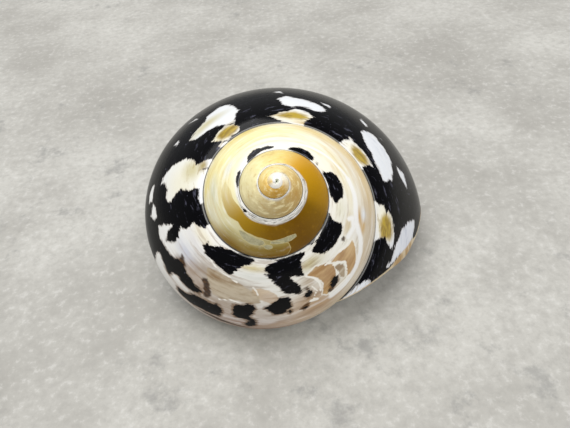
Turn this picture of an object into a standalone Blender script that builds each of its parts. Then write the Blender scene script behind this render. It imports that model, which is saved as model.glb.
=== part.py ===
"""A polished top shell lying on its base, with the spire up.

The shell grew as one piece, so it is one closed body, in metres. It is modelled about its own coiling
axis, with the apex at the origin and the axis along Z, and then turned into the way it lies on a table.
"""
import math

import bmesh
import bpy
from mathutils import Matrix, Vector

# Coiling: the suture climbs a cone, and every turn is WHORL_GROWTH times the size of the one before.
SUTURE_RADIUS = 0.02595
SUTURE_DEPTH = 0.02484
WHORL_GROWTH = 2.103
WHORLS = 4.75
LIP_HEADING = math.radians(-60.5)
APEX_TURN = 0.7

# Section of a whorl in suture radii, as distance from the axis and depth under the apex.
SUTURE = (1.0, SUTURE_DEPTH / SUTURE_RADIUS)
PERIPHERY = (2.142, 1.994)
BASE = (1.15, 3.15)
COLUMELLA = (0.17, 2.15)
SHOULDER_OUT = 0.284
SHOULDER_DOWN = 0.207
ROUND = 0.552

# The last whorl is narrower and lower than its growth asks, most of all at the lip.
NARROWING = 0.385
LOWERING = 0.204
SLOWING = 1.6
SLOWING_START = 0.85

# The lip is one flat cut through the suture's end, which faces forward and down.
LIP_NORMAL = Vector((0.28, -0.67, -0.69)).normalized()
LIP_SEARCH = 3.0
LIP_STEP = 0.004
LAG_FADE = 4.0

# The hollow behind the lip: wall as a share of the section, thicker by the columella, and its length.
WALL_SHARE = 0.10
COLUMELLA_SHARE = 0.12
HOLLOW_END = 4.6
HOLLOW_TAPER = 1.6
HOLLOW_TIP = 0.30

# The way it lies: the axis leans by LEAN towards LEAN_HEADING and is turned by TURN, and the lowest
# parts of the base are worn flat by FLAT.
LEAN = math.radians(32.5)
LEAN_HEADING = math.radians(99.9)
TURN = math.radians(-5.1)
FLAT = 0.0006
TABLE_SIZE = 0.2

# The pillar that closes the middle of the whorls above the umbilicus.
PILLAR_TOP = 0.0015
PILLAR_BOTTOM = 0.026
PILLAR_RADIUS = 0.006
PILLAR_TIP = 0.0009
PILLAR_SIDES = 24

SHELL_COLOUR = (0.05, 0.045, 0.045, 1)
POLISH = 0.16
SHARP_ANGLE = math.radians(40)

# Rings along the whorls and points around each ring.
RINGS_PER_TURN = 36
HOLLOW_RINGS = 22
APEX_RINGS = 4
POINTS_PER_QUARTER = 8

GROWTH = math.log(WHORL_GROWTH) / (2 * math.pi)
PLACES = [n / POINTS_PER_QUARTER for n in range(4 * POINTS_PER_QUARTER)]


def bezier(start, start_handle, end_handle, end, share):
    """Point at a share of the way along a curve with two handles."""
    left = 1 - share
    weights = (left ** 3, 3 * left ** 2 * share, 3 * left * share ** 2, share ** 3)
    corners = (start, start_handle, end_handle, end)
    return [sum(weight * corner[i] for weight, corner in zip(weights, corners)) for i in (0, 1)]


def section(place):
    """Point of the section: 0 is the suture, 1 the periphery, 2 the base and 3 the columella."""
    quarter, share = divmod(place % 4, 1)
    level = SUTURE if quarter in (0, 3) else BASE
    upright = PERIPHERY if quarter < 2 else COLUMELLA
    out, down = (SHOULDER_OUT, SHOULDER_DOWN) if quarter == 0 else (ROUND, ROUND)
    level_handle = (level[0] + out * (upright[0] - level[0]), level[1])
    upright_handle = (upright[0], upright[1] + down * (level[1] - upright[1]))
    if quarter in (1, 3):
        share = 1 - share
    return bezier(level, level_handle, upright_handle, upright, share)


MIDDLE = [sum(section(place)[i] for place in PLACES) / len(PLACES) for i in (0, 1)]


def whorl_point(place, back, inset=0.0):
    """Point of the whorl that stands back radians behind the lip, inset towards the section's middle."""
    out, down = [value + inset * (middle - value) for value, middle in zip(section(place), MIDDLE)]
    slowed = math.exp(-max(back - SLOWING_START, 0) / SLOWING)
    if out > 1:
        out = 1 + (out - 1) * (1 - NARROWING * slowed)
    down = SUTURE[1] + (down - SUTURE[1]) * (1 - LOWERING * slowed)
    size = SUTURE_RADIUS * math.exp(-GROWTH * back)
    heading = LIP_HEADING + back
    return Vector((out * size * math.cos(heading), out * size * math.sin(heading), -down * size))


def lip_lag(place, inset):
    """How far back the whorl meets the flat cut of the lip at this place."""
    start = whorl_point(0, 0)
    back = LIP_SEARCH
    while back > 0 and (whorl_point(place, back, inset) - start).dot(LIP_NORMAL) < 0:
        back -= LIP_STEP
    return back


def wall(place):
    """Share of the section that the wall takes, most at the columella."""
    return WALL_SHARE + COLUMELLA_SHARE * max(math.cos((place - 3) * math.pi / 2), 0) ** 2


def ring(bm, back, lags, insets):
    """Ring of points whose lag behind the lip fades out along the whorl."""
    fade = max(1 - back / LAG_FADE, 0)
    return [bm.verts.new(whorl_point(place, back + lag * fade, inset))
            for place, lag, inset in zip(PLACES, lags, insets)]


def whorls_mesh():
    """One closed tube: up the inside from the hollow's blind end, over the lip, and on to the apex."""
    bm = bmesh.new()
    walls = [wall(place) for place in PLACES]
    inner_lags = [lip_lag(place, inset) for place, inset in zip(PLACES, walls)]
    rings = []
    for n in range(HOLLOW_RINGS + 1):
        back = HOLLOW_END * (1 - n / HOLLOW_RINGS)
        taper = max(back - HOLLOW_END + HOLLOW_TAPER, 0) / HOLLOW_TAPER
        open_share = HOLLOW_TIP + (1 - HOLLOW_TIP) * math.sqrt(1 - taper ** 2)
        rings.append(ring(bm, back, inner_lags, [1 - (1 - inset) * open_share for inset in walls]))
    solid = [0.0] * len(PLACES)
    outer_lags = [lip_lag(place, 0) for place in PLACES]
    step = 2 * math.pi / RINGS_PER_TURN
    for n in range(round(WHORLS * RINGS_PER_TURN) + 1):
        rings.append(ring(bm, n * step, outer_lags, solid))
    for n in range(1, APEX_RINGS + 1):
        closing = n / (APEX_RINGS + 1)
        shut = 1 - math.sqrt(1 - closing ** 2)
        rings.append(ring(bm, WHORLS * 2 * math.pi + closing * APEX_TURN, outer_lags, [shut] * len(PLACES)))
    for below, above in zip(rings, rings[1:]):
        for n in range(len(PLACES)):
            bm.faces.new((below[n - 1], below[n], above[n], above[n - 1]))
    bm.faces.new(rings[0])
    bm.faces.new(rings[-1])
    bmesh.ops.recalc_face_normals(bm, faces=bm.faces)
    mesh = bpy.data.meshes.new("top_shell")
    bm.to_mesh(mesh)
    bm.free()
    return mesh


def lying_matrix(points):
    """Turn from the coiling axis to the way the shell lies, centred over the origin."""
    lean_axis = Vector((-math.sin(LEAN_HEADING), math.cos(LEAN_HEADING), 0))
    turn = Matrix.Rotation(TURN, 4, "Z") @ Matrix.Rotation(-LEAN, 4, lean_axis)
    placed = [turn @ point for point in points]
    lows = [min(point[i] for point in placed) for i in range(3)]
    highs = [max(point[i] for point in placed) for i in range(3)]
    centre = Vector(((lows[0] + highs[0]) / 2, (lows[1] + highs[1]) / 2, lows[2] + FLAT))
    return Matrix.Translation(-centre) @ turn


def table_mesh():
    """Block under the floor's level, which leaves the flats that the shell rests on."""
    bm = bmesh.new()
    below = Matrix.Translation((0, 0, -TABLE_SIZE / 2))
    bmesh.ops.create_cube(bm, size=TABLE_SIZE, matrix=below)
    mesh = bpy.data.meshes.new("table")
    bm.to_mesh(mesh)
    bm.free()
    return mesh


def pillar_mesh():
    """A cone down the axis, narrow end up."""
    bm = bmesh.new()
    length = PILLAR_BOTTOM - PILLAR_TOP
    middle = Matrix.Translation((0, 0, -(PILLAR_TOP + PILLAR_BOTTOM) / 2))
    bmesh.ops.create_cone(bm, cap_ends=True, segments=PILLAR_SIDES, radius1=PILLAR_RADIUS,
                          radius2=PILLAR_TIP, depth=length, matrix=middle)
    mesh = bpy.data.meshes.new("pillar")
    bm.to_mesh(mesh)
    bm.free()
    return mesh


def shell_material():
    """Black and white polished shell, read as one dark glossy finish."""
    material = bpy.data.materials.new("polished_shell")
    material.use_nodes = True
    shader = material.node_tree.nodes["Principled BSDF"]
    shader.inputs["Base Color"].default_value = SHELL_COLOUR
    shader.inputs["Roughness"].default_value = POLISH
    shader.inputs["Metallic"].default_value = 0.0
    material.diffuse_color = SHELL_COLOUR
    return material


def add_boolean(target, cutter, operation, with_self=False):
    """Boolean modifier that stays on the target; the cutter is only a helper."""
    cutter.hide_render = True
    cutter.display_type = "WIRE"
    boolean = target.modifiers.new(cutter.name, "BOOLEAN")
    boolean.operation = operation
    boolean.object = cutter
    boolean.solver = "EXACT"
    boolean.use_self = with_self


def main():
    for item in list(bpy.data.objects):
        bpy.data.objects.remove(item, do_unlink=True)
    shell = bpy.data.objects.new("top_shell", whorls_mesh())
    pillar = bpy.data.objects.new("pillar", pillar_mesh())
    table = bpy.data.objects.new("table", table_mesh())
    for item in (shell, pillar, table):
        bpy.context.scene.collection.objects.link(item)
    shell.data.materials.append(shell_material())
    shell.data.shade_smooth()
    shell.data.set_sharp_from_angle(angle=SHARP_ANGLE)
    shell.matrix_world = lying_matrix([vertex.co for vertex in shell.data.vertices])
    pillar.matrix_world = shell.matrix_world
    add_boolean(shell, pillar, "UNION", with_self=True)
    add_boolean(shell, table, "DIFFERENCE")


main()
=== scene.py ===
"""Polished top shell in black, white and gold, lying on its opening on a pale floor."""

import math

import bpy
import numpy as np
from mathutils import Matrix, Vector


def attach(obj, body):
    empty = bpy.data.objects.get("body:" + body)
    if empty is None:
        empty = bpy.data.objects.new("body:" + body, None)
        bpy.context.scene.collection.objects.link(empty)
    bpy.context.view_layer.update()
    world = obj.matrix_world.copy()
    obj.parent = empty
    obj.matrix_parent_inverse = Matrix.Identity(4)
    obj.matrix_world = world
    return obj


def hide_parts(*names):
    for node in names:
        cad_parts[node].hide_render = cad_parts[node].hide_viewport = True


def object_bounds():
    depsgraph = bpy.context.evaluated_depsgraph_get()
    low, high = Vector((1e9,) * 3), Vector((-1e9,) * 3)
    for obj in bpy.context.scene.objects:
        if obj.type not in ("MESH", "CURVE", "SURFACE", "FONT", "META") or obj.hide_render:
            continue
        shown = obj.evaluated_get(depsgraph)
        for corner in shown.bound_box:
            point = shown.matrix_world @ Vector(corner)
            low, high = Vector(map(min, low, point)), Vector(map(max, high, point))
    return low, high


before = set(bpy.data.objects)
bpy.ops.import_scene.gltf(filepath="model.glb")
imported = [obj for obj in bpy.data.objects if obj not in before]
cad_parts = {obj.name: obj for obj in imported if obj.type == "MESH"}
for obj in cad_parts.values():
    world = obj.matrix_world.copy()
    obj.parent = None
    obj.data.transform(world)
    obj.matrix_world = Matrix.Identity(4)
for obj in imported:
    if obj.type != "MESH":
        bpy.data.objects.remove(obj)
cad_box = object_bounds()

# Coiling, in metres: the same values as the solid
SUTURE_RADIUS = 0.02595
SUTURE_DEPTH = 0.02484
WHORL_GROWTH = 2.103
GROWTH = math.log(WHORL_GROWTH) / math.tau
LIP_HEADING = -60.5
WHORL_DEGREES = 2070
APEX_DEGREES = 40

# Section of the whorl, as multiples of the suture radius: out from the axis, down from the apex
SUTURE = (1.0, SUTURE_DEPTH / SUTURE_RADIUS)
PERIPHERY = (2.142, 1.994)
BASE = (1.15, 3.15)
COLUMELLA = (0.17, 2.15)
SHOULDER_OUT = 0.284
SHOULDER_DOWN = 0.207
ROUND = 0.552
SECTION_STEPS = 32
NARROWING = 0.385
LOWERING = 0.204
SLOWING = 1.6
SLOWING_START = 0.85

# Lip and hollow: the lip is a flat cut that stands a little forward between the suture and the periphery
LIP_NORMAL = Vector((0.28, -0.67, -0.69)).normalized()
LIP_SEARCH = 3.0
LIP_STEP = 0.004
LAG_FADE = 4.0
WALL_SHARE = 0.10
COLUMELLA_SHARE = 0.12
HOLLOW_END = 4.6
HOLLOW_TAPER = 1.6
HOLLOW_TIP = 0.30
RIM_ROUND = 0.03
LIP_FLARE = math.radians(5)
FLARE_PLACE = 0.55
FLARE_REACH = 0.22

# Lie of the shell on the floor
LEAN = math.radians(32.5)
LEAN_HEADING = math.radians(99.9)
TURN = math.radians(-5.1)
APEX_PLACE = Vector((-0.0020983, -0.0227967, 0.0440761))
INSIDE_BOX = 0.00004

# Mesh: points round the section, most of them on the side that shows, and rings in degrees back from the lip
COLUMNS = 96
FACE_COLUMNS = 58
FACE_PLACE = 1.25
RING_SPANS = ((4, 420, 1.0), (420, 800, 2.0), (800, 1200, 4.0), (1200, WHORL_DEGREES, 6.0))
HOLLOW_START = 5
HOLLOW_STEP = 4
RIM_RINGS = 11
APEX_RINGS = 8
FIRST_CLOSING = 0.12
GRID_SIZE = 0.05
MERGE_GAP = 0.0000005

# Finish of the shell
POLISH = 0.16
POLISH_CHANGE = 0.2
GLOSS = 0.13
COAT = 0.05
COAT_POLISH = 0.1
RELIEF = 0.06
RELIEF_HEIGHT = 0.0004

# Camera of the photograph
CAMERA_PLACE = (-0.00116779, -0.09633398, 0.10692581)
CAMERA_RIGHT = (0.994515, -0.073334, -0.074581)
CAMERA_UP = (0.104596, 0.697634, 0.708778)
CAMERA_BACK = (0.000053, -0.712691, 0.701478)
LENS = 31.58
SENSOR = 36
CLIP_START = 0.005

# Floor, light and sky: each light's name, place, size and power
FLOOR_SIZE = 6
FLOOR_ROUGHNESS = 0.7
LIGHTS = (("soft_key", (-0.30, 0.40, 1.85), 1.9, 36.0), ("soft_front", (0.75, -1.2, 1.85), 1.1, 22.0))
LIGHT_TARGET = (0, 0, 0.02)
SKY_COLOUR = (0.95, 0.97, 1.0, 1)
SKY_STRENGTH = 0.28

# The pattern's scale, in millimetres at the lip: for a degree back, and for one quarter of the section
MM_ROUND = 0.65
MM_DOWN = 42.0

# How far fields of the pattern reach, how far beyond a mark they are reckoned, and how far a wash spreads
FIELD_REACH = 8.0
FIELD_MARGIN = 4
WASH_REACH = 1.25

# Where the photograph hides the shell: noise turned into millimetres, and more than any field reaches
NOISE_MM = 60.0
SHUT_OUT = 30.0

# Colours on a screen, out of 255
SHADES = {
    # pale layer: clouds and streaks
    "chalk": (252, 250, 242), "straw": (170, 146, 96), "umber": (150, 120, 90), "milk": (250, 248, 244),
    "honey": (214, 182, 112), "ivory": (252, 249, 236), "butter": (252, 240, 190), "caramel": (182, 138, 66),
    # flames and gold
    "bronze": (160, 130, 44), "dark gold": (138, 110, 8), "light gold": (178, 150, 38),
    "silver": (184, 189, 203), "bright gold": (196, 148, 30), "crust": (192, 186, 150),
    "dark crust": (138, 130, 98), "worn rim": (222, 208, 148),
    # marks on the whorl in front
    "tan": (206, 170, 116), "dark tan": (170, 126, 72), "tan rim": (246, 242, 230), "beige": (206, 192, 168),
    "dark beige": (146, 118, 82), "dark brown": (34, 20, 12), "brown": (112, 74, 36),
    # white lines between the tan patches, and the white of the painted highlight streak down the whorl in front
    "white line": (252, 248, 238), "painted_highlight": (252, 251, 248),
    # black layer with its painted glints, and sutures with painted shade in their crease
    "black": (2, 2, 4), "glint": (104, 104, 122), "fringe": (116, 82, 44), "grey band": (196, 194, 186),
    "white band": (238, 236, 230), "dash": (70, 66, 66), "suture edge": (238, 236, 230), "groove_shade": (96, 84, 62),
    "suture": (30, 26, 24),
    # umbilicus, lip and hollow
    "umbilicus": (232, 228, 214), "green umbilicus": (196, 204, 178), "pale lip": (222, 204, 170),
    "tan lip": (184, 150, 102), "green pearl": (206, 216, 206), "pink pearl": (224, 206, 214),
    "white pearl": (240, 240, 236),
    # floor
    "dark floor": (160, 157, 150), "pale floor": (194, 192, 185), "dark grain": (156, 153, 147),
    "pale grain": (212, 210, 205), "stain": (132, 131, 128),
}

# Pale flames on the black part of the last whorl, and small bright slivers near its outline that are painted
# reflections: degrees back from the lip, place down the side
PALE_FLAMES_AND_REFLECTIONS = (
    # upper left, a broad flame and the gold one under it
    ((174, 0.54), (171, 0.37), (174, 0.32), (177, 0.21), (182, 0.25), (186, 0.31), (190, 0.33), (198, 0.37),
     (202, 0.42), (202, 0.45), (198, 0.47), (189, 0.50), (186, 0.56), (182, 0.57), (178, 0.59)),
    ((197, 0.20), (194, 0.20), (188, 0.24), (182, 0.24), (178, 0.21), (176, 0.11), (178, 0.06), (183, 0.07),
     (188, 0.05), (192, 0.12)),
    ((197, 0.09), (194, 0.09), (189, 0.06), (189, 0.02), (195, 0.04)),
    # left, a big ragged flame from the suture
    ((216, 0.43), (213, 0.36), (212, 0.27), (213, 0.24), (215, 0.20), (213, 0.16), (207, 0.07), (207, 0.0),
     (213, 0.02), (216, 0.07), (218, 0.13), (215, 0.06), (216, 0.0), (226, -0.02), (240, -0.02), (244, 0.03),
     (244, 0.07), (240, 0.09), (232, 0.09), (232, 0.14), (234, 0.21), (232, 0.24), (234, 0.27), (232, 0.30),
     (236, 0.38), (239, 0.41), (239, 0.45), (236, 0.48), (232, 0.47), (228, 0.51), (228, 0.57), (225, 0.57),
     (222, 0.53), (219, 0.50)),
    # painted reflections: small bright slivers at the left and top edges
    ((207, 0.63), (204, 0.62), (204, 0.58), (207, 0.59)),
    ((194, 0.71), (190, 0.67), (190, 0.64), (192, 0.68)),
    ((237, 0.77), (231, 0.76), (228, 0.72), (228, 0.69), (236, 0.69)),
    ((243, 0.72), (237, 0.67), (240, 0.63), (244, 0.61), (246, 0.66)),
    ((152, 0.59), (150, 0.63), (148, 0.61), (148, 0.56)),
    # top, white above and cream with a gold core below
    ((150, 0.43), (147, 0.48), (146, 0.50), (140, 0.47), (132, 0.45), (128, 0.43), (124, 0.38), (126, 0.33),
     (129, 0.30), (134, 0.33), (138, 0.33), (142, 0.30), (147, 0.32)),
    ((158, 0.17), (153, 0.15), (148, 0.21), (144, 0.21), (140, 0.28), (136, 0.26), (132, 0.25), (128, 0.22),
     (129, 0.21), (130, 0.17), (132, 0.11), (132, 0.0), (135, 0.0), (141, 0.04), (147, 0.06), (152, 0.12)),
    # painted reflection: a small bright sliver near the top edge
    ((129, 0.50), (124, 0.51), (124, 0.46)),
    # upper right, a long white flame and a gold one at the suture
    ((105, 0.41), (104, 0.45), (102, 0.50), (99, 0.52), (93, 0.51), (88, 0.50), (84, 0.46), (76, 0.37),
     (76, 0.32), (75, 0.27), (76, 0.24), (81, 0.24), (88, 0.26), (96, 0.30), (101, 0.33)),
    # painted reflections: three small bright glints and slivers near the upper right edge
    ((110, 0.57), (110, 0.62), (105, 0.56), (106, 0.54)),
    ((99, 0.57), (96, 0.59), (98, 0.56)),
    ((84, 0.53), (82, 0.56), (80, 0.61), (74, 0.57), (72, 0.56), (75, 0.53), (80, 0.51)),
    ((106, 0.21), (101, 0.20), (94, 0.20), (90, 0.20), (84, 0.20), (86, 0.14), (86, 0.06), (83, 0.02),
     (87, -0.02), (104, -0.02), (106, 0.05), (106, 0.12), (104, 0.17)),
    # right, a gold flame from the suture and a white one at the lip
    ((66, -0.02), (64, 0.06), (62, 0.11), (63, 0.14), (62, 0.16), (58, 0.19), (60, 0.22), (57, 0.26),
     (54, 0.28), (48, 0.31), (42, 0.30), (42, 0.27), (44, 0.22), (46, 0.19), (45, 0.15), (44, 0.10),
     (42, 0.05), (40, 0.02), (40, -0.02)),
    ((60, 0.61), (58, 0.50), (54, 0.42), (48, 0.37), (44, 0.33), (40, 0.33), (36, 0.31), (33, 0.28),
     (34, 0.32), (39, 0.37), (44, 0.45), (46, 0.52), (51, 0.58), (56, 0.61)),
    ((24, 0.17), (20, 0.10), (16, 0.07), (10, 0.04), (4, 0.04), (2, 0.07), (6, 0.12), (14, 0.17), (21, 0.20)),
)

# Where black is the ground: from the lip back to a ragged end at the left
BLACK_GROUND = (
    (-30, -0.06), (262, -0.06), (262, 0.06), (264, 0.11), (260, 0.16), (256, 0.21), (258, 0.30), (255, 0.36),
    (260, 0.42), (261, 0.48), (258, 0.57), (255, 0.52), (252, 0.43), (250, 0.52), (249, 0.61), (255, 0.64),
    (260, 0.61), (266, 0.59), (270, 0.53), (274, 0.51), (278, 0.56), (282, 0.56), (285, 0.59), (290, 0.59),
    (290, 0.63), (286, 0.67), (284, 0.68), (279, 0.68), (276, 0.66), (273, 0.69), (272, 0.77), (267, 0.74),
    (262, 0.72), (261, 0.72), (260, 0.76), (262, 0.90), (268, 1.1), (276, 1.32), (300, 1.38), (330, 1.34),
    (370, 1.40), (420, 1.38), (420, 2.7), (-30, 2.7))

# Black marks on the pale part
BLACK_MARKS = (
    # on the whorl in front
    ((279, 0.79), (285, 0.76), (288, 0.69), (292, 0.68), (297, 0.67), (300, 0.64), (303, 0.68), (304, 0.73),
     (303, 0.81), (298, 0.82), (294, 0.83), (290, 0.87), (284, 0.87), (280, 0.85)),
    ((273, 0.24), (274, 0.22), (273, 0.16), (276, 0.19), (279, 0.15), (282, 0.10), (286, 0.09), (290, 0.05),
     (294, 0.05), (298, 0.04), (304, 0.01), (312, 0.06), (312, 0.09), (309, 0.14), (306, 0.16), (303, 0.21),
     (302, 0.25), (300, 0.30), (297, 0.30), (291, 0.28), (284, 0.27), (278, 0.27)),
    ((308, 0.58), (315, 0.54), (318, 0.54), (320, 0.58), (318, 0.67), (318, 0.71), (321, 0.73), (321, 0.84),
     (318, 0.87), (315, 0.83), (318, 0.76), (315, 0.74), (310, 0.73), (309, 0.67)),
    ((324, 0.57), (328, 0.53), (333, 0.48), (338, 0.48), (339, 0.52), (339, 0.58), (338, 0.62), (334, 0.66),
     (330, 0.66), (327, 0.61)),
    ((322, 0.14), (326, 0.10), (332, 0.06), (340, 0.04), (348, 0.05), (357, 0.09), (356, 0.12), (351, 0.15),
     (350, 0.24), (350, 0.32), (345, 0.30), (340, 0.28), (342, 0.33), (346, 0.41), (346, 0.47), (344, 0.48),
     (338, 0.46), (334, 0.41), (333, 0.36), (327, 0.28), (322, 0.22), (327, 0.22), (322, 0.19)),
    ((322, 0.04), (328, 0.02), (336, 0.02), (327, 0.05)),
    ((404, 0.0), (400, 0.07), (396, 0.14), (398, 0.27), (394, 0.30), (390, 0.30), (382, 0.30), (375, 0.28),
     (370, 0.26), (366, 0.21), (362, 0.14), (370, 0.09), (378, 0.06), (387, 0.02), (394, 0.02)),
    ((362, 0.02), (368, 0.04), (374, 0.05), (372, 0.07), (366, 0.06), (363, 0.05)),
    ((366, 0.54), (368, 0.53), (370, 0.57), (369, 0.62), (366, 0.64), (364, 0.63), (363, 0.58)),
    ((347, 0.52), (350, 0.49), (352, 0.51), (352, 0.55), (349, 0.57), (347, 0.55)),
    ((345, 0.67), (348, 0.64), (348, 0.67), (346, 0.69)),
    ((337, 0.67), (338, 0.65), (339, 0.67), (338, 0.69)),
    # round the suture of the whorl above
    ((555, 0.06), (549, 0.15), (540, 0.19), (530, 0.17), (520, 0.15), (513, 0.11), (519, 0.07), (528, 0.09),
     (538, 0.06), (551, 0.0), (555, 0.01)),
    ((598, 0.05), (596, 0.07), (587, 0.12), (574, 0.12), (569, 0.09), (578, 0.04), (588, 0.01)),
    ((628, 0.12), (638, 0.08), (640, 0.12), (636, 0.15)),
    ((497, 0.07), (490, 0.14), (483, 0.17), (474, 0.17), (464, 0.12), (464, 0.06), (468, 0.02), (480, 0.0),
     (490, 0.04)),
    ((461, 0.09), (458, 0.11), (456, 0.07)),
    ((448, 0.07), (444, 0.12), (444, 0.21), (440, 0.25), (432, 0.28), (424, 0.28), (420, 0.26), (416, 0.19),
     (412, 0.14), (414, 0.11), (418, 0.07), (424, 0.04), (435, 0.06), (441, 0.04)),
)

# Tan patches where the grinding has gone through the white layer
TAN_MARKS = (
    ((371, 0.38), (374, 0.38), (379, 0.40), (387, 0.46), (392, 0.48), (390, 0.54), (385, 0.63), (379, 0.71),
     (374, 0.73), (376, 0.63), (380, 0.54), (378, 0.48), (374, 0.42)),
    ((352, 0.34), (360, 0.32), (367, 0.36), (371, 0.43), (370, 0.50), (368, 0.57), (366, 0.55), (364, 0.61),
     (360, 0.65), (358, 0.62), (361, 0.51), (359, 0.43), (356, 0.38)),
    ((316, 0.39), (321, 0.37), (327, 0.40), (331, 0.45), (332, 0.51), (328, 0.52), (323, 0.48), (317, 0.46)),
)

# Brown marks, and beige patches, on the whorl in front
BROWN_MARKS = (
    ((286, 0.48), (289, 0.45), (292, 0.50), (295, 0.56), (295, 0.63), (292, 0.64), (291, 0.58), (289, 0.52)),
    ((386, 0.35), (388, 0.33), (390, 0.34), (391, 0.37), (388, 0.38)),
    ((361, 0.62), (364, 0.61), (366, 0.64), (364, 0.67), (361, 0.66)),
    ((347, 0.46), (350, 0.45), (352, 0.47), (350, 0.49)),
    ((343, 0.66), (346, 0.63), (350, 0.62), (348, 0.67), (345, 0.70)),
    ((269, 0.46), (272, 0.48), (276, 0.52), (275, 0.57), (271, 0.56), (270, 0.51)),
    ((288, 0.88), (300, 0.85), (312, 0.88), (322, 0.93), (310, 0.92), (298, 0.90)),
)
BEIGE_MARKS = (
    ((285, 0.36), (291, 0.33), (300, 0.33), (309, 0.36), (316, 0.40), (321, 0.46), (322, 0.52), (317, 0.54),
     (310, 0.52), (303, 0.56), (296, 0.56), (292, 0.50), (288, 0.43)),
    ((371, 0.46), (374, 0.47), (377, 0.52), (376, 0.58), (373, 0.64), (371, 0.60), (372, 0.53)),
)

# Painted highlight, a bright streak down the right of the whorl in front: half breadth in millimetres, then its
# points
PAINTED_HIGHLIGHT_LINES = (
    (0.6, ((496, 0.20), (476, 0.27), (462, 0.32), (448, 0.36), (436, 0.42))),
    (1.3, ((436, 0.42), (424, 0.44), (412, 0.44), (404, 0.47), (400, 0.53), (396, 0.59), (390, 0.66),
           (382, 0.71), (372, 0.73), (362, 0.72))),
    (0.9, ((404, 0.35), (406, 0.40), (400, 0.44), (392, 0.40))),
)

# Gold cores of the flames
CORE_MARKS = (
    ((192, 0.17), (190, 0.20), (184, 0.22), (178, 0.19), (176, 0.13), (179, 0.09), (186, 0.09), (191, 0.12)),
    ((151, 0.16), (146, 0.19), (140, 0.22), (133, 0.20), (131, 0.16), (135, 0.12), (142, 0.12), (148, 0.13)),
    ((100, 0.14), (97, 0.18), (91, 0.19), (86, 0.17), (86, 0.11), (90, 0.06), (95, 0.05), (98, 0.09)),
    ((58, 0.18), (56, 0.23), (51, 0.27), (47, 0.27), (45, 0.21), (45, 0.13), (49, 0.10), (55, 0.12)),
)

# Worn edge of the gold on the whorl above: gold inside, pale outside
GOLD_MARKS = (
    ((588, 0.33), (600, 0.22), (612, 0.20), (624, 0.16), (640, 0.15), (660, 0.15), (690, 0.13), (720, 0.10),
     (748, 0.05), (790, 0.04), (812, 0.10), (840, 0.30), (846, 0.60), (842, 1.0), (700, 1.0), (706, 0.72),
     (704, 0.58), (692, 0.50), (678, 0.45), (663, 0.43), (651, 0.42), (640, 0.36), (628, 0.42), (618, 0.41),
     (606, 0.41), (598, 0.40)),
)
WORN_MARKS = (
    ((684, 0.54), (684, 0.49), (694, 0.47), (708, 0.46), (715, 0.49), (714, 0.54), (705, 0.57), (692, 0.56)),
    ((646, 0.45), (654, 0.44), (666, 0.46), (676, 0.48), (679, 0.54), (674, 0.60), (664, 0.61), (656, 0.57),
     (650, 0.52)),
    ((677, 0.60), (681, 0.55), (687, 0.58), (687, 0.64), (681, 0.66)),
)

# Thin white lines left between the tan patches: half breadth in millimetres, then the line's points
WHITE_LINES = (
    (0.42, ((351, 0.34), (356, 0.40), (358, 0.47), (358, 0.53), (357, 0.57))),
    (0.40, ((366, 0.36), (370, 0.38), (375, 0.38), (380, 0.38), (385, 0.42), (391, 0.45))),
    (0.30, ((371, 0.43), (375, 0.46), (379, 0.52), (378, 0.57), (375, 0.66))),
    (0.55, ((376, 0.69), (369, 0.68), (361, 0.68))),
    (0.60, ((350, 0.62), (354, 0.64))),
    (0.28, ((353, 0.47), (355, 0.54), (352, 0.60))),
    (0.35, ((284, 0.28), (290, 0.31), (298, 0.32), (306, 0.35))),
    (0.30, ((316, 0.36), (319, 0.40), (320, 0.44))),
    (0.35, ((300, 0.58), (306, 0.54), (314, 0.55))),
)

# Ground colour of the whorls, and colour of the gold, by degrees back from the lip
GROUND_STOPS = (
    (0, (229, 232, 237)), (200, (232, 234, 235)), (262, (240, 239, 234)), (420, (244, 240, 226)),
    (540, (250, 240, 200)), (600, (240, 232, 186)), (640, (224, 216, 172)),
    (690, (170, 152, 88)), (740, (150, 112, 24)), (800, (192, 142, 34)), (832, (214, 162, 58)),
    (860, (238, 212, 128)), (900, (238, 222, 158)), (940, (236, 226, 174)), (980, (226, 212, 162)),
    (1020, (204, 186, 138)), (1060, (188, 164, 112)), (1110, (194, 160, 96)), (1160, (212, 180, 112)),
    (1220, (236, 216, 156)), (1290, (238, 212, 138)), (1350, (228, 186, 98)), (1410, (196, 150, 60)),
    (1460, (212, 172, 92)), (1510, (244, 232, 204)), (1560, (252, 248, 236)), (1640, (250, 240, 214)),
    (1690, (226, 194, 120)), (1730, (252, 248, 238)), (2200, (254, 252, 248)))
GOLD_STOPS = (
    (590, (204, 180, 104)), (612, (186, 152, 62)), (650, (160, 124, 26)), (682, (128, 92, 8)),
    (722, (114, 78, 4)), (752, (130, 94, 6)), (768, (166, 122, 14)), (792, (184, 136, 16)),
    (814, (196, 144, 24)), (832, (214, 162, 58)), (860, (238, 212, 128)))

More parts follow.
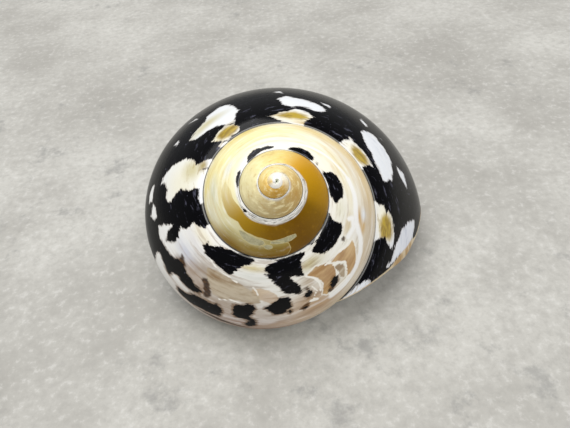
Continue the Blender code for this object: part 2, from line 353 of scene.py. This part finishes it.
# Broad washes of colour: degrees back, place, half breadth round, half breadth down, colour, strength
WASHES = (
    # flames of the last whorl
    (190, 0.44, 14, 0.06, (198, 190, 146), 0.85),
    (187, 0.16, 12, 0.09, (226, 214, 160), 0.9),
    (228, 0.30, 18, 0.22, (234, 229, 204), 0.8),
    (219, 0.22, 8, 0.12, (204, 195, 152), 0.9),
    (214, 0.11, 5, 0.06, (150, 130, 52), 0.9),
    (236, 0.04, 14, 0.07, (230, 236, 246), 0.9),
    (140, 0.15, 16, 0.10, (238, 226, 182), 0.9),
    (133, 0.05, 8, 0.06, (216, 194, 146), 0.8),
    (95, 0.12, 12, 0.10, (246, 238, 206), 0.8),
    (54, 0.16, 12, 0.14, (240, 232, 196), 0.8),
    (60, 0.03, 12, 0.06, (226, 222, 212), 0.8),
    (50, 0.48, 14, 0.12, (222, 224, 232), 0.8),
    # mother of pearl at the front left
    (272, 0.42, 14, 0.08, (208, 210, 220), 0.9),
    (268, 0.18, 14, 0.08, (238, 230, 204), 0.8),
    (270, 0.28, 16, 0.05, (226, 222, 220), 0.7),
    (284, 0.38, 12, 0.08, (188, 176, 164), 0.9),
    (280, 0.50, 8, 0.08, (160, 134, 110), 0.8),
    (272, 0.53, 5, 0.05, (104, 78, 58), 0.8),
    (290, 0.56, 7, 0.10, (150, 110, 74), 0.8),
    (302, 0.42, 20, 0.10, (150, 128, 100), 0.95),
    (298, 0.38, 10, 0.04, (136, 106, 74), 0.8),
    (306, 0.62, 30, 0.12, (184, 168, 152), 0.95),
    (322, 0.82, 46, 0.16, (166, 142, 128), 0.95),
    (322, 0.97, 46, 0.10, (146, 116, 94), 0.95),
    (312, 0.165, 14, 0.05, (214, 200, 150), 0.9),
    (316, 0.26, 14, 0.05, (226, 226, 218), 0.9),
    # beige and tan at the front right
    (360, 0.26, 14, 0.09, (222, 216, 192), 0.95),
    (356, 0.24, 8, 0.05, (204, 192, 140), 0.8),
    (350, 0.62, 18, 0.14, (192, 164, 134), 0.95),
    (356, 0.74, 16, 0.10, (186, 152, 114), 0.9),
    (348, 0.84, 26, 0.10, (196, 172, 146), 0.9),
    (352, 0.42, 8, 0.08, (200, 184, 162), 0.95),
    (372, 0.92, 26, 0.12, (206, 188, 158), 0.95),
    (386, 0.72, 20, 0.12, (208, 188, 156), 0.9),
    (415, 0.72, 34, 0.22, (206, 188, 160), 0.95),
    (415, 0.95, 40, 0.10, (184, 170, 148), 0.9),
    (404, 0.50, 14, 0.08, (232, 226, 214), 0.9),
    (408, 0.22, 10, 0.10, (232, 228, 206), 0.9),
    (400, 0.36, 10, 0.05, (208, 186, 140), 0.8),
    (409, 0.51, 7, 0.06, (204, 164, 98), 0.95),
    (404, 0.58, 6, 0.05, (206, 170, 110), 0.9),
    (412, 0.57, 5, 0.05, (232, 238, 246), 0.9),
    # cream whorl at the right and top
    (452, 0.78, 38, 0.24, (228, 202, 150), 0.95),
    (446, 0.56, 34, 0.08, (236, 226, 204), 0.9),
    (450, 0.38, 40, 0.10, (238, 226, 184), 0.8),
    (486, 0.70, 30, 0.14, (236, 212, 148), 0.9),
    (500, 0.92, 36, 0.10, (222, 208, 172), 0.9),
    (524, 0.54, 40, 0.22, (248, 238, 180), 1.0),
    (520, 0.30, 40, 0.06, (244, 240, 218), 0.9),
    (540, 0.78, 26, 0.16, (240, 222, 142), 1.0),
    (545, 0.95, 44, 0.10, (216, 200, 152), 0.9),
    (566, 0.56, 22, 0.20, (246, 236, 172), 0.95),
    (572, 0.34, 14, 0.08, (226, 226, 214), 0.9),
    (590, 0.78, 22, 0.20, (236, 220, 150), 0.95),
    (598, 0.58, 18, 0.10, (216, 214, 186), 0.9),
    (618, 0.72, 18, 0.16, (228, 222, 190), 0.95),
    (620, 0.94, 20, 0.10, (196, 180, 120), 0.95),
    (646, 0.62, 18, 0.14, (196, 184, 130), 1.0),
    (648, 0.88, 26, 0.30, (146, 114, 38), 1.0),
    (668, 0.70, 18, 0.10, (158, 134, 66), 1.0),
    (690, 0.68, 18, 0.10, (146, 120, 50), 1.0),
    (690, 0.90, 36, 0.22, (134, 100, 24), 1.0),
    (712, 0.74, 16, 0.16, (146, 108, 26), 1.0),
    # paler rim at the suture of the whorl above
    (420, 0.05, 60, 0.05, (232, 228, 218), 0.7),
    (520, 0.12, 70, 0.13, (240, 240, 234), 0.9),
    (560, 0.06, 80, 0.09, (236, 235, 230), 1.0),
    (650, 0.07, 60, 0.08, (206, 204, 196), 1.0),
    (700, 0.07, 40, 0.07, (198, 194, 182), 1.0),
    (740, 0.05, 30, 0.06, (206, 202, 190), 0.9),
    # rims of the small whorls
    (880, 0.04, 60, 0.05, (216, 200, 150), 0.8),
    (1050, 0.08, 50, 0.10, (196, 192, 180), 0.95),
    (1120, 0.08, 40, 0.10, (208, 204, 194), 0.95),
    (1190, 0.08, 40, 0.10, (206, 196, 160), 0.9),
    (980, 0.06, 40, 0.06, (200, 186, 144), 0.9),
)


def bezier(start, start_handle, end_handle, end, share):
    """Point of a curve from start to end, at a share of its length."""
    left = 1 - share
    weights = (left ** 3, 3 * left * left * share, 3 * left * share * share, share ** 3)
    corners = (start, start_handle, end_handle, end)
    return [sum(weight * corner[axis] for weight, corner in zip(weights, corners)) for axis in (0, 1)]


def section(place):
    """Outline of the whorl: 0 at the suture, 1 at the periphery, 2 under the base, 3 at the columella."""
    quarter, share = divmod(place % 4, 1)
    level = SUTURE if quarter in (0, 3) else BASE
    upright = PERIPHERY if quarter < 2 else COLUMELLA
    out, down = (SHOULDER_OUT, SHOULDER_DOWN) if quarter == 0 else (ROUND, ROUND)
    level_handle = (level[0] + out * (upright[0] - level[0]), level[1])
    upright_handle = (upright[0], upright[1] + down * (level[1] - upright[1]))
    if quarter in (1, 3):
        share = 1 - share
    return bezier(level, level_handle, upright_handle, upright, share)


MIDDLE = [sum(section(4 * n / SECTION_STEPS)[axis] for n in range(SECTION_STEPS)) / SECTION_STEPS for axis in (0, 1)]


def whorl_points(places, backs, insets):
    """Points of the tube, each by its place round the section and its radians back from the lip."""
    outline = np.array([section(place) for place in places])
    outs = outline[:, 0] + insets * (MIDDLE[0] - outline[:, 0])
    downs = outline[:, 1] + insets * (MIDDLE[1] - outline[:, 1])
    slowed = np.exp(-np.maximum(backs - SLOWING_START, 0) / SLOWING)
    outs = np.where(outs > 1, 1 + (outs - 1) * (1 - NARROWING * slowed), outs)
    downs = SUTURE[1] + (downs - SUTURE[1]) * (1 - LOWERING * slowed)
    sizes = SUTURE_RADIUS * np.exp(-GROWTH * backs)
    headings = math.radians(LIP_HEADING) + backs
    return np.stack([outs * sizes * np.cos(headings), outs * sizes * np.sin(headings), -downs * sizes], axis=1)


def lip_lags(places, insets):
    """How far back the whorl meets the flat cut of the lip, at each place."""
    start = whorl_points([0.0], np.zeros(1), np.zeros(1))[0]
    lags = np.full(len(places), LIP_SEARCH)
    searching = np.ones(len(places), bool)
    while searching.any():
        points = whorl_points(places, lags, insets)
        searching &= (lags > 0) & ((points - start) @ np.array(LIP_NORMAL) < 0)
        lags[searching] -= LIP_STEP
    return lags


# Pattern

def laid_flat(backs, places):
    """Points of the whorls laid out flat, in millimetres at the lip."""
    return np.stack([backs * MM_ROUND, places * MM_DOWN], axis=1)


def edge_gap(spots, start, end):
    """Distance from each spot to a straight edge."""
    edge = end - start
    along = np.clip((spots - start) @ edge / (edge @ edge), 0, 1)
    return np.hypot(*(spots - start - along[:, None] * edge).T)


def signed_field(marks, backs, places):
    """Distance into the nearest mark in millimetres, or less than nothing outside every mark."""
    flat = laid_flat(backs, places)
    field = np.full(len(flat), -FIELD_REACH)
    for mark in marks:
        outline = np.array(mark) * (MM_ROUND, MM_DOWN)
        low = outline.min(axis=0) - FIELD_MARGIN
        high = outline.max(axis=0) + FIELD_MARGIN
        near = np.nonzero(((flat > low) & (flat < high)).all(axis=1))[0]
        spots = flat[near]
        inside = np.zeros(len(near), bool)
        gap = np.full(len(near), FIELD_REACH)
        for start, end in zip(outline, np.roll(outline, -1, axis=0)):
            gap = np.minimum(gap, edge_gap(spots, start, end))
            if start[1] != end[1]:
                crosses = (start[1] > spots[:, 1]) != (end[1] > spots[:, 1])
                reach = start[0] + (spots[:, 1] - start[1]) / (end[1] - start[1]) * (end[0] - start[0])
                inside ^= crosses & (spots[:, 0] < reach)
        field[near] = np.maximum(field[near], np.where(inside, gap, -gap))
    return field


def line_field(lines, backs, places):
    """Millimetres into the nearest line, or less than nothing beside every line."""
    flat = laid_flat(backs, places)
    field = np.full(len(flat), -FIELD_REACH)
    for half_breadth, line in lines:
        points = np.array(line) * (MM_ROUND, MM_DOWN)
        for start, end in zip(points, points[1:]):
            field = np.maximum(field, half_breadth - edge_gap(flat, start, end))
    return field


def linear(colour):
    """Colour on a screen, out of 255, as light."""
    return [((part / 255 + 0.055) / 1.055) ** 2.4 if part > 10 else part / 255 / 12.92 for part in colour]


def stopped(stops, backs):
    """Colour by degrees back, smooth from one stop to the next."""
    degrees = [back for back, _ in stops]
    shades = np.array([linear(shade) for _, shade in stops])
    return np.stack([np.interp(backs, degrees, shades[:, part]) for part in range(3)], axis=1)


def washed(backs, places):
    """Ground colour with every wash laid over it in turn. A wash of full strength fades out more softly."""
    colours = stopped(GROUND_STOPS, backs)
    for back, place, breadth, depth, colour, strength in WASHES:
        gap = np.hypot((backs - back) / breadth, (places - place) / depth)
        cover = strength * np.clip(WASH_REACH - gap, 0, 1)
        cover = cover * cover * (3 - 2 * cover) if strength == 1 else cover
        colours += (np.array(linear(colour)) - colours) * cover[:, None]
    return colours


# Materials

class Value:
    """A socket of a material that can be reckoned with as a number."""

    def __init__(self, finish, socket):
        self.finish = finish
        self.socket = socket

    def join(self, operation, *others):
        return self.finish.node("Math", {"operation": operation}, [self, *others])

    def __add__(self, other):
        return self.join("ADD", other)

    def __sub__(self, other):
        return self.join("SUBTRACT", other)

    def __rsub__(self, other):
        return self.finish.node("Math", {"operation": "SUBTRACT"}, [other, self])

    def __mul__(self, other):
        return self.join("MULTIPLY", other)

    __radd__ = __add__
    __rmul__ = __mul__

    def over(self, other):
        """The larger of the two."""
        return self.join("MAXIMUM", other)

    def under(self, other):
        """The smaller of the two."""
        return self.join("MINIMUM", other)

    def step(self, low, high):
        """0 below low, 1 above high, smooth between."""
        return self.finish.node("MapRange", {"interpolation_type": "SMOOTHSTEP"}, [self, low, high, 0.0, 1.0])

    def between(self, low, full, fall, high):
        """0 below low, 1 from full to fall, and 0 again above high."""
        return self.step(low, full) * (1.0 - self.step(fall, high))

    def near(self, low, high):
        """1 within low of nothing, 0 further off than high."""
        return 1.0 - self.join("ABSOLUTE").step(low, high)


class Finish:
    """A material and the nodes that make it."""

    def __init__(self, name):
        self.material = bpy.data.materials.new(name)
        self.material.use_nodes = True
        self.tree = self.material.node_tree
        self.shader = self.tree.nodes["Principled BSDF"]

    def node(self, kind, settings=None, inputs=(), output=0):
        """Adds a node, sets it, and gives one of its outputs."""
        made = self.tree.nodes.new("ShaderNode" + kind)
        for name, value in (settings or {}).items():
            setattr(made, name, value)
        named = inputs.items() if isinstance(inputs, dict) else enumerate(inputs)
        for name, value in named:
            self.feed(made.inputs[name], value)
        return Value(self, made.outputs[output])

    def feed(self, socket, value):
        if isinstance(value, Value):
            self.tree.links.new(value.socket, socket)
        else:
            socket.default_value = value

    def mix(self, amount, below, above):
        """Colour above laid over colour below. A colour's sockets come after those for numbers and vectors."""
        return self.node("Mix", {"data_type": "RGBA"}, {0: amount, 6: below, 7: above}, output=2)

    def lay(self, below, amount, shade, other=None, blend=None):
        """Shade laid over the colour below. Where there is another shade, blend goes from the first to it."""
        above = self.colour(shade)
        if other:
            above = self.mix(blend, above, self.colour(other))
        return self.mix(amount, below, above)

    def colour(self, shade):
        return (*linear(SHADES[shade]), 1.0)

    def field(self, name, output=2):
        """Attribute of the mesh: a number from output 2, a colour from output 0."""
        return self.node("Attribute", {"attribute_name": name}, output=output)

    def flat(self, across, down):
        return self.node("CombineXYZ", inputs=[across, down, 0.0])

    def noise(self, vector, scale, detail, rough):
        inputs = {"Vector": vector, "Scale": scale, "Detail": detail, "Roughness": rough}
        return self.node("TexNoise", inputs=inputs)


class ShellFinish(Finish):
    """Polished shell: a black layer over a pale one, gold and tan where it is ground through, pearl inside."""

    def __init__(self):
        super().__init__("polished_shell")
        self.turns = self.node("SeparateXYZ", inputs=[self.node("UVMap", {"uv_map": "coiled"})])
        self.place = Value(self, self.turns.socket.node.outputs[1]) * 4
        self.around = self.turns * (360 * MM_ROUND)
        self.down = self.place * MM_DOWN

        self.ragged = self.grain(0.22, 0.9, 4.0, 0.65, slant=0.1) - 0.5
        self.fine = self.grain(0.5, 2.4, 3.0, 0.6, scale=1.2) - 0.5
        self.bands = self.grain(0.05, 1.0, 4.0, 0.6, scale=0.9) - 0.5
        self.cloud = self.grain(1.0, 1.0, 3.0, 0.55, scale=0.22) - 0.5
        self.streaks = self.grain(0.05, 0.42, 4.0, 0.62)
        self.strokes = self.grain(0.16, 0.55, 4.0, 0.65, slant=0.1)
        self.mottle = self.grain(0.06, 0.13, 4.0, 0.6)
        self.front = self.turns.between(0.70, 0.76, 1.12, 1.2)

    def grain(self, across, down, detail, rough, scale=1.0, slant=0.0):
        """Noise in spots to the millimetre across and down the whorl, longer where there are fewer of them."""
        lower = self.down * down
        if slant:
            lower = lower + self.around * slant
        return self.noise(self.flat(self.around * across, lower), scale, detail, rough)

    def black_layer(self):
        """Millimetres into the black layer: by its marks, and by noise where the photograph hides the shell."""
        wander = self.noise(self.flat(self.around * 0.09, 3.0), 1.0, 3.0, 0.55) - 0.5
        under = (self.place + wander * 2.2 + self.bands * 0.2).step(1.05, 1.4)
        sides = self.place.step(0.84, 0.95)
        rays = self.flat(self.around * 0.075 + self.down * 0.03, self.down * 0.012)
        flames = (self.noise(rays, 1.0, 3.0, 0.6) - 0.50) * NOISE_MM
        blotches = (0.60 - self.grain(0.085, 0.06, 2.0, 0.5)) * NOISE_MM
        base = flames + (1.0 - under) * SHUT_OUT
        flank = blotches + (1.0 - sides) * SHUT_OUT + under * SHUT_OUT
        return self.field("black").under(base.under(flank)) + self.ragged * 3.0 + self.fine * 1.8

    def ground(self):
        """Pale layer, with its washes, streaks and clouds."""
        streaks, cloud, bands = self.streaks, self.cloud, self.bands
        pale = self.field("wash", output=0)
        pale = self.lay(pale, (cloud * 1.6 + bands * 1.2).step(0.05, 0.6) * 0.22, "chalk")
        pale = self.lay(pale, (bands * 1.8 - cloud).step(0.1, 0.7) * 0.18, "straw")
        pale = self.lay(pale, streaks.step(0.52, 0.66) * self.front * 0.45, "umber")
        pale = self.lay(pale, (0.5 - streaks).step(0.02, 0.14) * self.front * 0.4, "milk")
        cream = self.turns.between(1.14, 1.22, 1.74, 1.8) * self.place.step(0.16, 0.3)
        pale = self.lay(pale, streaks.step(0.5, 0.64) * cream * 0.35, "honey")
        pale = self.lay(pale, (0.5 - streaks).step(0.03, 0.12) * cream * 0.5, "ivory")
        small = self.turns.between(2.28, 2.5, 4.2, 4.5)
        pale = self.lay(pale, self.mottle.step(0.5, 0.66) * small * 0.6, "butter")
        return self.lay(pale, (0.5 - self.mottle).step(0.02, 0.18) * small * 0.45, "caramel")

    def flame_tones(self, pale):
        """Gold cores and silver strokes in the flames of the last whorl."""
        last = 1.0 - self.turns.step(0.70, 0.74)
        golden = self.strokes.step(0.54, 0.64) * last * (1.0 - self.place.step(0.18, 0.36))
        pale = self.lay(pale, golden * 0.45, "bronze")
        core = (self.field("core") + self.ragged * 2.6 + self.fine).step(-1.5, 1.1)
        pale = self.lay(pale, core * 0.92, "dark gold", "light gold", self.strokes.step(0.42, 0.6))
        silver = self.strokes.step(0.5, 0.66) * (1.0 - self.turns.step(0.32, 0.42)) * self.place.step(0.3, 0.5)
        return self.lay(pale, silver * 0.5, "silver")

    def gilding(self, pale):
        """Gold of the whorl above, with its pale rim and the crusts on its edge."""
        gilt = self.field("gilt", output=0)
        gilt = self.lay(gilt, (self.cloud * 1.5 + self.bands * 0.5).step(0.0, 0.6) * 0.3, "bright gold")
        gold_edge = self.field("gold") + self.cloud * 1.2 + self.ragged * 0.6
        gold = gold_edge.step(-0.4, 0.2) * (0.35 + self.turns.step(1.64, 1.78) * 0.65)
        pale = self.mix(gold, pale, gilt)
        worn = self.field("worn") + self.ragged * 1.8
        pale = self.lay(pale, worn.step(-0.15, 0.15), "crust", "dark crust", (self.fine + self.cloud).step(-0.2, 0.4))
        worn_rim = (worn - 0.05).near(0.1, 0.32)
        gold_rim = (gold_edge + 0.25).near(0.1, 0.4) * self.turns.between(1.7, 1.76, 1.96, 2.0)
        return self.lay(pale, worn_rim.over(gold_rim) * 0.55, "worn rim")

    def front_marks(self, pale):
        """Tan, beige, brown and white marks of the whorl in front, and the painted highlight streaking down it."""
        blend = (self.streaks + self.mottle * 1.5).step(1.0, 1.5)
        tan = self.field("tan") + 0.35 + self.ragged * 1.4
        strength = self.turns.step(0.94, 0.97) * 0.35 + 0.55
        pale = self.lay(pale, tan.step(-0.3, 0.4) * strength, "tan", "dark tan", blend)
        edge = (tan + 0.3).near(0.12, 0.45) * self.turns.step(0.93, 0.97) * 0.8
        pale = self.lay(pale, edge, "tan rim")
        beige = (self.field("beige") + self.ragged * 1.6).step(-0.4, 0.3)
        pale = self.lay(pale, beige * 0.9, "beige", "dark beige", blend)
        brown = (self.field("brown") + self.ragged * 2.0 + self.fine).step(-0.5, 0.4)
        pale = self.lay(pale, brown * 0.92, "dark brown", "brown", self.fine.step(-0.1, 0.3))
        line = (self.field("line") + self.bands * 0.5).step(-0.2, 0.15)
        pale = self.lay(pale, line * 0.95, "white line")
        # painted highlight: a bright streak down the whorl in front
        painted_highlight = (self.field("pearl") + self.bands * 1.2).step(-0.9, 0.5)
        return self.lay(pale, painted_highlight * 0.9, "painted_highlight")

    def suture_band(self, pale):
        """Grey and white band with dark dashes, under the suture of the third whorl and those above it."""
        breadth = 0.10 + self.turns.between(1.7, 1.82, 2.16, 2.3) * 0.07
        band = 1.0 - (self.place + self.bands * 0.14 - breadth).step(-0.02, 0.03)
        band = band * self.turns.between(1.58, 1.66, 3.1, 3.3)
        pale = self.lay(pale, band * 0.9, "grey band", "white band", self.streaks.step(0.4, 0.6))
        dash = self.grain(0.10, 1.2, 2.0, 0.5).step(0.55, 0.63)
        return self.lay(pale, dash * band * 0.85, "dash")

    def outside(self):
        """Black layer over the pale one with painted glints on it, the lines of the suture with painted shade in its
        crease, and the umbilicus.
        """
        place = self.place
        pale = self.suture_band(self.front_marks(self.gilding(self.flame_tones(self.ground()))))
        black_edge = self.black_layer()
        black = black_edge.step(-0.16, 0.16)
        halo = place.step(0.46, 0.6) * self.front
        fringe = (black_edge + halo * 0.3).step(-0.7, -0.05) * (0.3 + halo * 0.35)
        pale = self.lay(pale, fringe, "fringe")
        # painted glints on the black: grey-blue streaks near the suture and fine specks
        glints = self.strokes.step(0.57, 0.70) * (1.0 - place.step(0.25, 0.55)) * 0.5
        glint_specks = self.grain(1.0, 1.0, 1.0, 0.5, scale=1.1).step(0.72, 0.78) * 0.5
        colour = self.lay(pale, black, "black", "glint", glints.over(glint_specks))

        worn_tip = 1.0 - self.turns.step(3.5, 3.9)
        white_edge = place.between(0.032, 0.040, 0.048, 0.060) * worn_tip
        colour = self.lay(colour, white_edge * 0.8 * (1.0 - black * 0.7), "suture edge")
        # painted shade: darker where each whorl above the last runs down into the suture under it
        groove_shade = place.between(0.90, 0.985, 1.02, 1.06) * self.turns.step(1.0, 1.03)
        colour = self.lay(colour, groove_shade * 0.6, "groove_shade")
        # painted shade: a dark line in the crease of each suture, fading out at the worn tip
        suture_shade = (1.0 - place.step(0.028, 0.040)) * worn_tip
        colour = self.lay(colour, suture_shade * 0.92, "suture")
        hub = place.step(2.45, 2.75) * 0.95
        return self.lay(colour, hub, "umbilicus", "green umbilicus", self.streaks.step(0.35, 0.65))

    def lip_and_hollow(self, colour):
        """Ground bevel of the lip, broadest at the right of the photograph, and the pearly hollow."""
        broad = self.place.between(0.30, 0.44, 0.56, 0.66) * 3.5
        bevel = 1.0 - (self.field("rim") + self.ragged * 1.2 - broad).step(2.0, 3.2)
        colour = self.lay(colour, bevel * 0.9, "pale lip", "tan lip", self.mottle.step(0.42, 0.58))
        sheen = self.grain(0.12, 0.5, 3.0, 0.6, scale=0.5).step(0.35, 0.65)
        lustre = self.mix(sheen, self.colour("green pearl"), self.colour("pink pearl"))
        lustre = self.lay(lustre, (self.bands * 2).step(0.0, 0.7) * 0.6, "white pearl")
        return self.mix(self.field("depth").step(0.55, 0.9), colour, lustre)

    def finished(self):
        """The material, with its colour, gloss and fine relief joined to the shader."""
        sockets = self.shader.inputs
        self.feed(sockets["Base Color"], self.lip_and_hollow(self.outside()))
        self.feed(sockets["Roughness"], POLISH + self.cloud.join("ABSOLUTE") * POLISH_CHANGE)
        sockets["Specular IOR Level"].default_value = GLOSS
        sockets["Coat Weight"].default_value = COAT
        sockets["Coat Roughness"].default_value = COAT_POLISH
        relief = {"Strength": RELIEF, "Distance": RELIEF_HEIGHT, "Height": self.bands + self.fine * 0.3}
        self.feed(sockets["Normal"], self.node("Bump", inputs=relief))
        return self.material


# Shell

def place_columns():
    """Places round the section, closest together on the side that shows."""
    face = np.linspace(0, FACE_PLACE, FACE_COLUMNS, endpoint=False)
    rest = np.linspace(FACE_PLACE, 4, COLUMNS - FACE_COLUMNS + 1)
    return np.concatenate([face, rest])


def shell_rows():
    """Every ring in turn, up the hollow, over the rim and back to the apex.

    Each ring has its radians behind the lip, its share of the wall's thickness, how far it is closed, and how
    deep it is inside, from 0 outside to 1 in the hollow.
    """
    rows = []
    for back in np.radians(np.arange(math.degrees(HOLLOW_END), HOLLOW_START, -HOLLOW_STEP)):
        taper = max(back - HOLLOW_END + HOLLOW_TAPER, 0) / HOLLOW_TAPER
        open_share = HOLLOW_TIP + (1 - HOLLOW_TIP) * math.sqrt(max(1 - taper ** 2, 0))
        rows.append((back, 1.0, 1 - open_share, 1.0))
    rows.insert(0, (rows[0][0], 1.0, 1.0, 1.0))
    for turn in np.linspace(math.pi / 2, -math.pi / 2, RIM_RINGS):
        share = (1 + math.sin(turn)) / 2
        rows.append((RIM_ROUND * (1 - math.cos(turn)), share, 0.0, share))
    outer = [np.arange(low, high, step) for low, high, step in RING_SPANS] + [[WHORL_DEGREES]]
    rows += [(back, 0.0, 0.0, 0.0) for back in np.radians(np.concatenate(outer))]
    for closing in np.linspace(FIRST_CLOSING, 1, APEX_RINGS):
        back = math.radians(WHORL_DEGREES + closing * APEX_DEGREES)
        rows.append((back, 0.0, 1 - math.sqrt(max(1 - closing ** 2, 0)), 0.0))
    return rows


def lying_matrix():
    """From the coiling axis to the way the shell lies."""
    lean_axis = Vector((-math.sin(LEAN_HEADING), math.cos(LEAN_HEADING), 0))
    turn = Matrix.Rotation(TURN, 4, "Z") @ Matrix.Rotation(-LEAN, 4, lean_axis)
    return Matrix.Translation(APEX_PLACE) @ turn


def rolled(columns, rows):
    """Points of every ring, kept inside the solid's box, with their degrees back, distance from the rim and depth."""
    walls = WALL_SHARE + COLUMELLA_SHARE * np.maximum(np.cos((columns - 3) * math.pi / 2), 0) ** 2
    flare = LIP_FLARE * np.exp(-((columns - FLARE_PLACE) / FLARE_REACH) ** 2)
    outer = lip_lags(columns, np.zeros(len(columns))) - flare
    inner = lip_lags(columns, walls) - flare
    points, backs, rims, depths = [], [], [], []
    for back, wall_share, closing, depth in rows:
        lags = outer + (inner - outer) * wall_share
        turned = back + lags * max(1 - back / LAG_FADE, 0)
        insets = 1 - (1 - walls * wall_share) * (1 - closing)
        points.append(whorl_points(columns, turned, insets))
        backs.append(np.degrees(turned))
        rims.append(np.full(len(columns), math.degrees(back)))
        depths.append(np.full(len(columns), depth))
    lying = np.array(lying_matrix())
    points = np.concatenate(points) @ lying[:3, :3].T + lying[:3, 3]
    low, high = (np.array(corner) for corner in cad_box)
    points = np.clip(points, low + INSIDE_BOX, high - INSIDE_BOX)
    return points, *(np.concatenate(values) for values in (backs, rims, depths))


def paint(mesh, backs, places, rims, depths):
    """Lays the pattern's fields and colours on the mesh's points."""
    marked = np.where(places > 3, places - 4, places)
    black = np.minimum(signed_field([BLACK_GROUND], backs, marked), -signed_field(PALE_FLAMES_AND_REFLECTIONS, backs, marked))
    fields = {"black": np.maximum(black, signed_field(BLACK_MARKS, backs, marked)), "rim": rims, "depth": depths}
    for name, marks in (("tan", TAN_MARKS), ("gold", GOLD_MARKS), ("worn", WORN_MARKS), ("core", CORE_MARKS),
                        ("brown", BROWN_MARKS), ("beige", BEIGE_MARKS)):
        fields[name] = signed_field(marks, backs, marked)
    # the pearl field is the painted highlight streak down the whorl in front
    for name, lines in (("pearl", PAINTED_HIGHLIGHT_LINES), ("line", WHITE_LINES)):
        fields[name] = line_field(lines, backs, marked)
    for name, values in fields.items():
        mesh.attributes.new(name, "FLOAT", "POINT").data.foreach_set("value", values)
    for name, colours in (("wash", washed(backs, marked)), ("gilt", stopped(GOLD_STOPS, backs))):
        full = np.concatenate([colours, np.ones((len(backs), 1))], axis=1)
        mesh.attributes.new(name, "FLOAT_COLOR", "POINT").data.foreach_set("color", full.ravel())


def make_shell():
    """Flat grid rolled into the whorls, with its pattern painted on its points."""
    columns = place_columns()
    rows = shell_rows()
    bpy.ops.object.select_all(action="DESELECT")
    bpy.ops.mesh.primitive_grid_add(x_subdivisions=len(columns) - 1, y_subdivisions=len(rows) - 1, size=GRID_SIZE)
    shell = bpy.context.object
    shell.name = "polished_whorls"
    mesh = shell.data
    points, backs, rims, depths = rolled(columns, rows)
    places = np.tile(columns, len(rows))
    mesh.vertices.foreach_set("co", points.ravel())

    loops = np.empty(len(mesh.loops), int)
    mesh.loops.foreach_get("vertex_index", loops)
    coiled = mesh.uv_layers[0]
    coiled.name = "coiled"
    coiled.data.foreach_set("uv", np.stack([backs / 360, places / 4], axis=1)[loops].ravel())
    paint(mesh, backs, places, rims, depths)

    bpy.ops.object.mode_set(mode="EDIT")
    bpy.ops.mesh.select_all(action="SELECT")
    bpy.ops.mesh.remove_doubles(threshold=MERGE_GAP)
    bpy.ops.mesh.normals_make_consistent(inside=False)
    bpy.ops.object.mode_set(mode="OBJECT")
    bpy.ops.object.shade_smooth()
    return shell


shell = make_shell()
shell.data.materials.append(ShellFinish().finished())
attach(shell, "root")
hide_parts("top_shell")


# Floor, light and camera

def make_floor():
    """Pale concrete, with clouds, grain and small stains."""
    bpy.ops.object.select_all(action="DESELECT")
    bpy.ops.mesh.primitive_plane_add(size=FLOOR_SIZE)
    floor = bpy.context.object
    floor.name = "floor"
    finish = Finish("pale_concrete")
    spot = finish.node("TexCoord", output=3)
    clouds = finish.noise(spot, 16.0, 5.0, 0.66).step(0.3, 0.7)
    grain = finish.noise(spot, 420.0, 4.0, 0.7)
    tone = finish.mix(clouds, finish.colour("dark floor"), finish.colour("pale floor"))
    tone = finish.lay(tone, (0.52 - grain).step(0.0, 0.16) * 0.35, "dark grain")
    tone = finish.lay(tone, (grain - 0.52).step(0.0, 0.16) * 0.4, "pale grain")
    stains = finish.noise(spot, 75.0, 5.0, 0.72) * (0.6 + finish.noise(spot, 11.0, 2.0, 0.5) * 0.8)
    tone = finish.lay(tone, stains.step(0.58, 0.74) * 0.55, "stain")
    finish.feed(finish.shader.inputs["Base Color"], tone)
    finish.shader.inputs["Roughness"].default_value = FLOOR_ROUGHNESS
    floor.data.materials.append(finish.material)


def add_light(name, place, size, power):
    """Square soft light aimed at the shell."""
    bpy.ops.object.light_add(type="AREA", location=place)
    light = bpy.context.object
    light.name = name
    light.data.size = size
    light.data.energy = power
    light.rotation_euler = (Vector(LIGHT_TARGET) - Vector(place)).to_track_quat("-Z", "Y").to_euler()


make_floor()
for light_settings in LIGHTS:
    add_light(*light_settings)

world = bpy.data.worlds.new("soft_sky")
world.use_nodes = True
sky = world.node_tree.nodes["Background"].inputs
sky["Color"].default_value = SKY_COLOUR
sky["Strength"].default_value = SKY_STRENGTH
bpy.context.scene.world = world
bpy.context.scene.view_settings.view_transform = "Standard"

bpy.ops.object.camera_add(location=CAMERA_PLACE)
camera = bpy.context.object
camera.rotation_euler = Matrix((CAMERA_RIGHT, CAMERA_UP, CAMERA_BACK)).transposed().to_euler()
camera.data.lens = LENS
camera.data.sensor_width = SENSOR
camera.data.clip_start = CLIP_START
bpy.context.scene.camera = camera
